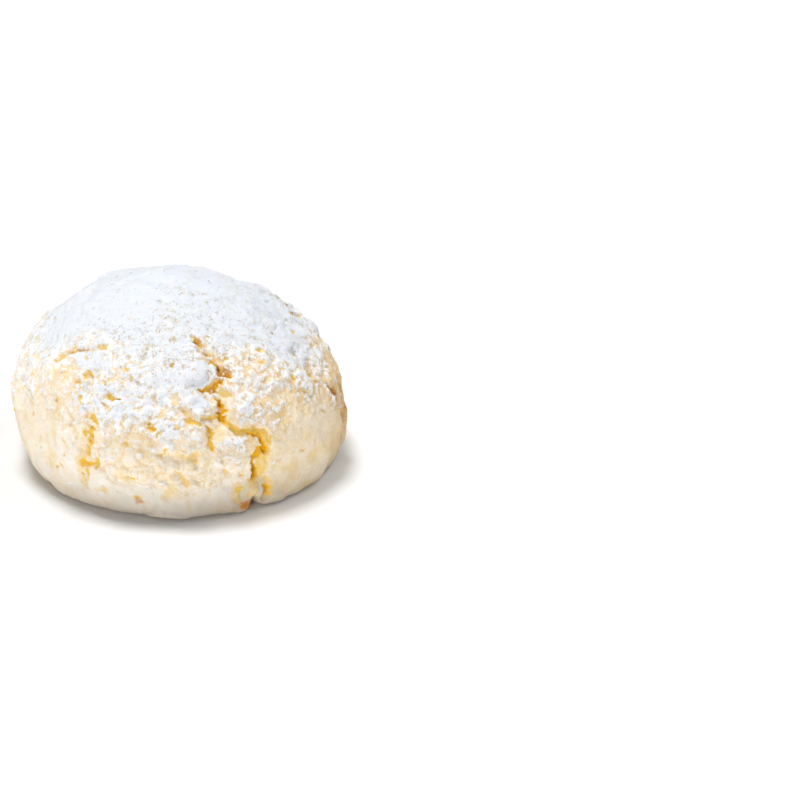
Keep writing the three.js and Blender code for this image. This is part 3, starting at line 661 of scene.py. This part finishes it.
def linear(hexColour):  # sRGB hex to linear RGBA
    channels = [int(hexColour[i:i + 2], 16) / 255 for i in (1, 3, 5)]
    return [c / 12.92 if c <= 0.04045 else ((c + 0.055) / 1.055) ** 2.4 for c in channels] + [1.0]


def addNode(tree, kind, inputs=None, **settings):  # a node with its settings, values and links
    node = tree.nodes.new(kind)
    for name, value in settings.items():
        setattr(node, name, value)
    for key, value in (inputs or {}).items():
        if isinstance(value, bpy.types.NodeSocket):
            tree.links.new(value, node.inputs[key])
        else:
            node.inputs[key].default_value = value
    return node


def newMaterial(name):
    material = bpy.data.materials.new(name)
    material.use_nodes = True
    material.node_tree.nodes.clear()
    return material, material.node_tree


crustFinish = {
    "dough": "#f4e9d6",      # plain baked dough, under every layer
    # patterns that break the layers up: size in mm, detail. Icing sugar is finer than a tenth of
    # a millimetre, too fine to show, so the smallest are drawn as coarse as they need to show
    "patterns": {"blotch": (3.2, 3.0), "mottle": (0.9, 3.0), "coarse": (0.34, 2.0), "fine": (0.17, 2.0),
                 "grain": (0.2, 3.0)},
    "cellSize": 0.36,        # clumps of sugar
    "raggedness": 0.3,       # of their borders
    "grainHeight": 0.05,
    "grainStrength": 0.7,
    "scattering": 0.9,       # how far light goes into the dough
    # layers from the dough up: name, colour, most that it covers, field of the mesh that it follows,
    # where it begins and is full, share of each pattern, and a gate: another field, its two ends and
    # what passes at the first
    "layers": [
        ("yellow blotches", "#eed7a6", 1.0, None, (-0.05, 0.18), {"blotch": 1.0}, None),
        ("coarse grit", "#e2c18c", 0.32, None, (-0.15, 0.25), {"coarse": 1.0}, None),
        ("fine grit", "#e2c18c", 0.22, None, (-0.05, 0.2), {"fine": 1.0}, None),
        ("breath of sugar", "#f1ebe0", 1.0, "bloom", (0.0, 0.9), {"mottle": 0.9}, None),
        ("creases", "#e4c384", 0.6, "crease", (0.3, 1.1), {"coarse": 0.8, "mottle": 1.6}, None),
        # partly real tan, partly painted shade: the tan grows stronger towards the right side
        ("tan crust", "#e2c18c", 1.0, "tanAndShade", (0.0, 1.0), {}, None),
        # painted shade: the small gaps in the deep sugar on the crown are grey
        ("shade in gaps of the crown sugar", "#c6bca4", 1.0, "deepSugarShade", (0.0, 1.0), {}, None),
        # painted shade: grey where the crust curls under at the foot
        ("foot", "#9c8e7c", 0.7, "foot", (0.0, 1.0), {}, None),
        ("torn dough", "#e9c464", 1.0, "torn", (0.1, 0.95), {"coarse": 1.2, "mottle": 0.9},
         ("tint", 0.0, 0.45, 0.0)),
        ("moist dough", "#f0b426", 1.0, "tint", (0.3, 1.2), {"coarse": 0.9}, ("torn", 0.4, 0.9, 0.0)),
        ("deep moist dough", "#e2a806", 1.0, "deep", (0.4, 1.0), {}, ("torn", 0.4, 0.9, 0.0)),
        ("browned crust", "#bd803e", 1.0, "toast", (0.15, 0.8), {"coarse": 0.4, "mottle": 0.9},
         ("toast", 0.05, 0.5, 0.0)),
        ("sugar", "#f0efee", 1.0, "sugar", (0.42, 0.6), {"coarse": 1.1, "fine": 1.1, "cells": 0.55},
         ("sugar", 0.15, 0.9, 0.65)),
        ("deep sugar", "#dde0e5", 1.0, "sugar", (0.42, 0.6), {"coarse": 1.1, "fine": 1.1, "cells": 0.55},
         ("deepSugarShade", 0.0, 1.0, 0.0)),  # painted shade and painted cool light: greyer and bluer on the crown, where the sugar lies deep
        ("pinholes", "#c0a67a", 0.85, None, (0.2, 0.36), {"coarse": 1.1, "fine": 0.8, "mottle": 1.3},
         ("speckled", 0.0, 1.0, 0.0)),
    ],
}


# Baked almond dough dusted with icing sugar: a matte, slightly translucent crumb, pale cream with
# yellow blotches, golden where it has torn open, and powder white where sugar clings.
def almondCrustMaterial():
    finish = crustFinish
    material, tree = newMaterial("baked_almond_dough")
    place = addNode(tree, "ShaderNodeTexCoord").outputs["Object"]
    patterns = {}
    for name, (size, detail) in finish["patterns"].items():
        sockets = {"Vector": place, "Scale": 1 / (size * mm), "Detail": detail}
        patterns[name] = addNode(tree, "ShaderNodeTexNoise", sockets).outputs[0]
    # cells with ragged borders, with one draw for each clump of sugar
    reach = finish["raggedness"] * mm
    wobble = addNode(tree, "ShaderNodeTexNoise", {"Vector": place, "Scale": 1 / reach}).outputs[1]
    shove = addNode(tree, "ShaderNodeVectorMath", {0: wobble, "Scale": reach}, operation="SCALE").outputs[0]
    ragged = addNode(tree, "ShaderNodeVectorMath", {0: place, 1: shove}, operation="ADD").outputs[0]
    sockets = {"Vector": ragged, "Scale": 1 / (finish["cellSize"] * mm)}
    cells = addNode(tree, "ShaderNodeTexVoronoi", sockets).outputs["Color"]
    patterns["cells"] = addNode(tree, "ShaderNodeSeparateColor", {0: cells}).outputs[0]
    colour, masks = linear(finish["dough"]), {}
    for name, tone, most, field, (begins, full), shares, gate in finish["layers"]:
        value = addNode(tree, "ShaderNodeAttribute", attribute_name=field).outputs["Fac"] if field else 0.0
        for pattern, share in shares.items():
            terms = {0: patterns[pattern], 1: share, 2: value}
            value = addNode(tree, "ShaderNodeMath", terms, operation="MULTIPLY_ADD").outputs[0]
        middle = sum(shares.values()) / 2  # the patterns vary about a half
        mask = addNode(tree, "ShaderNodeMapRange", {0: value, 1: begins + middle, 2: full + middle, 4: most},
                       interpolation_type="SMOOTHSTEP" if shares else "LINEAR").outputs[0]
        if gate:
            field, shut, wide, least = gate
            value = addNode(tree, "ShaderNodeAttribute", attribute_name=field).outputs["Fac"]
            passed = addNode(tree, "ShaderNodeMapRange", {0: value, 1: shut, 2: wide, 3: least},
                             interpolation_type="SMOOTHSTEP").outputs[0]
            mask = addNode(tree, "ShaderNodeMath", {0: mask, 1: passed}, operation="MULTIPLY").outputs[0]
        blend = {0: mask, 6: colour, 7: linear(tone)}
        colour = addNode(tree, "ShaderNodeMix", blend, data_type="RGBA").outputs[2]
        masks[name] = mask
    # the powder stands above the dough, and the pinholes go down through it
    height = patterns["grain"]
    for layer, operation in (("sugar", "ADD"), ("pinholes", "SUBTRACT")):
        height = addNode(tree, "ShaderNodeMath", {0: height, 1: masks[layer]}, operation=operation).outputs[0]
    sockets = {"Strength": finish["grainStrength"], "Distance": finish["grainHeight"] * mm, "Height": height}
    bump = addNode(tree, "ShaderNodeBump", sockets).outputs[0]
    shader = addNode(tree, "ShaderNodeBsdfPrincipled", {
        "Base Color": colour, "Roughness": 0.88, "IOR": 1.45, "Specular IOR Level": 0.25, "Normal": bump,
        "Subsurface Weight": 0.25, "Subsurface Radius": (1.0, 0.62, 0.34),
        "Subsurface Scale": finish["scattering"] * mm})
    addNode(tree, "ShaderNodeOutputMaterial", {"Surface": shader.outputs[0]})
    return material


icingSugar = {
    "density": "grainDensity",   # field of the crust that says where the lumps lie
    "lumps": {"Per square mm": 4.5, "Smallest": 0.05, "Largest": 0.2, "Seed": 71},
    "tones": ("#e7e7e9", "#f0efee"),
    "toneSize": 0.25,
    "scattering": 0.25,
}


# Icing sugar: fine dry powder in soft clumps, bright neutral white and wholly matte.
def icingSugarMaterial():
    finish = icingSugar
    dull, bright = finish["tones"]
    material, tree = newMaterial("icing_sugar")
    place = addNode(tree, "ShaderNodeTexCoord").outputs["Object"]
    sockets = {"Vector": place, "Scale": 1 / (finish["toneSize"] * mm), "Detail": 2.0}
    powder = addNode(tree, "ShaderNodeTexNoise", sockets).outputs[0]
    blend = {0: powder, 6: linear(dull), 7: linear(bright)}
    colour = addNode(tree, "ShaderNodeMix", blend, data_type="RGBA").outputs[2]
    shader = addNode(tree, "ShaderNodeBsdfPrincipled", {
        "Base Color": colour, "Roughness": 0.95, "IOR": 1.5, "Specular IOR Level": 0.2,
        "Subsurface Weight": 0.3, "Subsurface Radius": (1.0, 1.0, 1.0),
        "Subsurface Scale": finish["scattering"] * mm})
    addNode(tree, "ShaderNodeOutputMaterial", {"Surface": shader.outputs[0]})
    return material


almondCrumbs = {
    "density": "crumbDensity",
    "lumps": {"Per square mm": 1.6, "Smallest": 0.07, "Largest": 0.32, "Seed": 72},
    "tones": ("#e3b954", "#efdcb2"),
    "toneSize": 1.5,
    "toneEnds": (0.35, 0.65),    # between these values of the pattern the first turns to the second
    "scattering": 0.6,
}


# Crumbs torn from the inside: moist almond dough, more golden than the crust.
def almondCrumbMaterial():
    finish = almondCrumbs
    golden, pale = finish["tones"]
    begins, full = finish["toneEnds"]
    material, tree = newMaterial("almond_crumb")
    place = addNode(tree, "ShaderNodeTexCoord").outputs["Object"]
    sockets = {"Vector": place, "Scale": 1 / (finish["toneSize"] * mm), "Detail": 2.0}
    tone = addNode(tree, "ShaderNodeTexNoise", sockets).outputs[0]
    tone = addNode(tree, "ShaderNodeMapRange", {0: tone, 1: begins, 2: full}).outputs[0]
    blend = {0: tone, 6: linear(golden), 7: linear(pale)}
    colour = addNode(tree, "ShaderNodeMix", blend, data_type="RGBA").outputs[2]
    shader = addNode(tree, "ShaderNodeBsdfPrincipled", {
        "Base Color": colour, "Roughness": 0.8, "IOR": 1.45, "Specular IOR Level": 0.3,
        "Subsurface Weight": 0.3, "Subsurface Radius": (1.0, 0.62, 0.34),
        "Subsurface Scale": finish["scattering"] * mm})
    addNode(tree, "ShaderNodeOutputMaterial", {"Surface": shader.outputs[0]})
    return material


# shape of the loose lumps: rough balls, most of them small and lying flat
lumpShape = {
    "splits": 1,                 # 20 faces each
    "rarity": 3.0,               # power of the draw between the smallest and the largest
    "stretch": ((0.7, 0.7, 0.35), (1.4, 1.4, 0.8)),
    "stretchSeed": 5,
    "spin": (0.5, 0.5, 3.14),    # tilt and turn to either side, in radians
    "spinSeed": 6,
    "bumpsPerMm": 0.9,           # on a ball of 1 mm
    "bumpHeight": 1.1,
}


def scatterTree(name, material, densityField):  # scatters lumps over a surface by a density field
    shape = lumpShape
    tree = bpy.data.node_groups.new(name, "GeometryNodeTree")
    tree.interface.new_socket("Geometry", in_out="INPUT", socket_type="NodeSocketGeometry")
    for label, kind in (("Per square mm", "NodeSocketFloat"), ("Smallest", "NodeSocketFloat"),
                        ("Largest", "NodeSocketFloat"), ("Seed", "NodeSocketInt")):
        tree.interface.new_socket(label, in_out="INPUT", socket_type=kind)
    tree.interface.new_socket("Geometry", in_out="OUTPUT", socket_type="NodeSocketGeometry")
    given = addNode(tree, "NodeGroupInput").outputs
    density = addNode(tree, "GeometryNodeInputNamedAttribute", {"Name": densityField},
                      data_type="FLOAT").outputs[0]
    for factor in (given["Per square mm"], 1 / mm ** 2):
        density = addNode(tree, "ShaderNodeMath", {0: factor, 1: density}, operation="MULTIPLY").outputs[0]
    spread = addNode(tree, "GeometryNodeDistributePointsOnFaces",
                     {"Mesh": given["Geometry"], "Density": density, "Seed": given["Seed"]}).outputs
    draw = addNode(tree, "FunctionNodeRandomValue", {2: 0.0, 3: 1.0, "Seed": given["Seed"]},
                   data_type="FLOAT").outputs[1]
    few = addNode(tree, "ShaderNodeMath", {0: draw, 1: shape["rarity"]}, operation="POWER").outputs[0]
    size = addNode(tree, "ShaderNodeMapRange", {0: few, 3: given["Smallest"], 4: given["Largest"]}).outputs[0]
    least, most = shape["stretch"]
    stretch = addNode(tree, "FunctionNodeRandomValue", {0: least, 1: most, "Seed": shape["stretchSeed"]},
                      data_type="FLOAT_VECTOR").outputs[0]
    scale = addNode(tree, "ShaderNodeVectorMath", {0: stretch, "Scale": size}, operation="SCALE").outputs[0]
    least, most = [-angle for angle in shape["spin"]], shape["spin"]
    spin = addNode(tree, "FunctionNodeRandomValue", {0: least, 1: most, "Seed": shape["spinSeed"]},
                   data_type="FLOAT_VECTOR").outputs[0]
    turn = addNode(tree, "FunctionNodeRotateEuler", {0: spread["Rotation"], 1: spin}, rotation_type="EULER",
                   space="LOCAL").outputs[0]
    ball = addNode(tree, "GeometryNodeMeshIcoSphere",
                   {"Radius": mm, "Subdivisions": shape["splits"]}).outputs[0]
    rough = addNode(tree, "ShaderNodeTexNoise", {"Scale": shape["bumpsPerMm"] / mm}).outputs[1]
    centred = addNode(tree, "ShaderNodeVectorMath", {0: rough, 1: (0.5, 0.5, 0.5)},
                      operation="SUBTRACT").outputs[0]
    shove = addNode(tree, "ShaderNodeVectorMath", {0: centred, "Scale": shape["bumpHeight"] * mm},
                    operation="SCALE").outputs[0]
    lump = addNode(tree, "GeometryNodeSetPosition", {"Geometry": ball, "Offset": shove}).outputs[0]
    sockets = {"Points": spread["Points"], "Instance": lump, "Rotation": turn, "Scale": scale}
    placed = addNode(tree, "GeometryNodeInstanceOnPoints", sockets).outputs[0]
    real = addNode(tree, "GeometryNodeRealizeInstances", {0: placed}).outputs[0]
    smooth = addNode(tree, "GeometryNodeSetShadeSmooth", {0: real}).outputs[0]
    coated = addNode(tree, "GeometryNodeSetMaterial", {"Geometry": smooth, "Material": material}).outputs[0]
    addNode(tree, "NodeGroupOutput", {0: coated})
    return tree


def scatter(name, surface, material, settings):
    piece = bpy.data.objects.new(name, surface.copy())
    bpy.context.scene.collection.objects.link(piece)
    modifier = piece.modifiers.new("scatter", "NODES")
    tree = scatterTree(name + "_scatter", material, settings["density"])
    modifier.node_group = tree
    for item in tree.interface.items_tree:
        if item.in_out == "INPUT" and item.name in settings["lumps"]:
            modifier[item.identifier] = settings["lumps"][item.name]
    bpy.context.view_layer.update()
    evaluated = piece.evaluated_get(bpy.context.evaluated_depsgraph_get())
    mesh = bpy.data.meshes.new_from_object(evaluated)
    piece.modifiers.remove(modifier)
    piece.data = mesh
    mesh.name = name
    print(name, len(mesh.polygons), "faces")
    return piece


view = {
    "target": (29.77, 0.0, 7.80),   # mm, at the middle of the picture
    "elevation": 25.0,
    "distance": 550.0,
    "pixelsPerMm": 7.44,            # at the target
    "pictureWidth": 800,            # pixels
    "sensor": 36,                   # mm
}


def makeCamera():
    tilt = math.radians(view["elevation"])
    data = bpy.data.cameras.new("camera")
    data.sensor_width = view["sensor"]
    data.lens = view["pixelsPerMm"] * view["distance"] / view["pictureWidth"] * view["sensor"]
    camera = bpy.data.objects.new("camera", data)
    x, y, z = view["target"]
    y -= view["distance"] * math.cos(tilt)
    z += view["distance"] * math.sin(tilt)
    camera.location = (x * mm, y * mm, z * mm)
    camera.rotation_euler = (math.pi / 2 - tilt, 0, 0)
    bpy.context.scene.collection.objects.link(camera)
    bpy.context.scene.camera = camera


studio = {
    "sky": "#f2f6ff",
    "zenithStrength": 0.15,
    "horizonStrength": 0.02,
    "floor": "#f0f0f0",
    "floorHalf": 1500,
    "floorDrop": 0.05,              # below the base
    # name, place in mm, size in mm, power in watts, colour
    "lamps": [
        ("overhead", (-300, 300, 1850), 700, 30.5, "#ffffff"),
        ("side", (1000, 300, 1450), 900, 9.4, "#ffffff"),
        # these stand low, so that they light the sides of the cookie more than the floor
        ("front", (-450, -1800, 260), 400, 16.8, "#ffffff"),
        ("left", (-1750, -300, 260), 400, 4.3, "#ffffff"),
        ("right", (1700, -500, 260), 400, 2.6, "#ffffff"),
    ],
}


def makeStudio():
    scene = bpy.context.scene
    scene.view_settings.view_transform = "Standard"
    world = bpy.data.worlds.new("studio")
    world.use_nodes = True
    tree = world.node_tree
    # a faint sky, brightest overhead
    direction = addNode(tree, "ShaderNodeTexCoord").outputs["Generated"]
    upwards = addNode(tree, "ShaderNodeSeparateXYZ", {0: direction}).outputs[2]
    strength = addNode(tree, "ShaderNodeMapRange", {
        0: upwards, 1: 0.0, 2: 1.0, 3: studio["horizonStrength"], 4: studio["zenithStrength"]}).outputs[0]
    tree.nodes["Background"].inputs["Color"].default_value = linear(studio["sky"])
    tree.links.new(strength, tree.nodes["Background"].inputs["Strength"])
    scene.world = world
    for name, place, size, power, colour in studio["lamps"]:
        data = bpy.data.lights.new(name, "AREA")
        data.size = size * mm
        data.energy = power
        data.color = linear(colour)[:3]
        lamp = bpy.data.objects.new(name, data)
        lamp.location = [axis * mm for axis in place]
        lamp.rotation_euler = (-lamp.location).to_track_quat("-Z", "Y").to_euler()
        scene.collection.objects.link(lamp)
    half, below = studio["floorHalf"] * mm, -studio["floorDrop"] * mm
    corners = [(-half, -half, below), (half, -half, below), (half, half, below), (-half, half, below)]
    mesh = bpy.data.meshes.new("floor")
    mesh.from_pydata(corners, [], [(0, 1, 2, 3)])
    floor = bpy.data.objects.new("floor", mesh)
    scene.collection.objects.link(floor)
    # matte white card under the cookie
    material, tree = newMaterial("white_card")
    shader = addNode(tree, "ShaderNodeBsdfPrincipled",
                     {"Base Color": linear(studio["floor"]), "Roughness": 0.9, "Specular IOR Level": 0.1})
    addNode(tree, "ShaderNodeOutputMaterial", {"Surface": shader.outputs[0]})
    mesh.materials.append(material)


makeCamera()
makeStudio()
print("camera and studio ready")

crustMesh = makeCrustMesh()
crust = bpy.data.objects.new("almond_crust", crustMesh)
crustMesh.materials.append(almondCrustMaterial())
bpy.context.scene.collection.objects.link(crust)
print("crust", len(crustMesh.polygons), "faces")

sugar = scatter("icing_sugar", crustMesh, icingSugarMaterial(), icingSugar)
crumbs = scatter("almond_crumbs", crustMesh, almondCrumbMaterial(), almondCrumbs)

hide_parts("cookie")
for piece, slot in ((crust, "almond_crust"), (sugar, "icing_sugar"), (crumbs, "almond_crust")):
    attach(piece, "root")
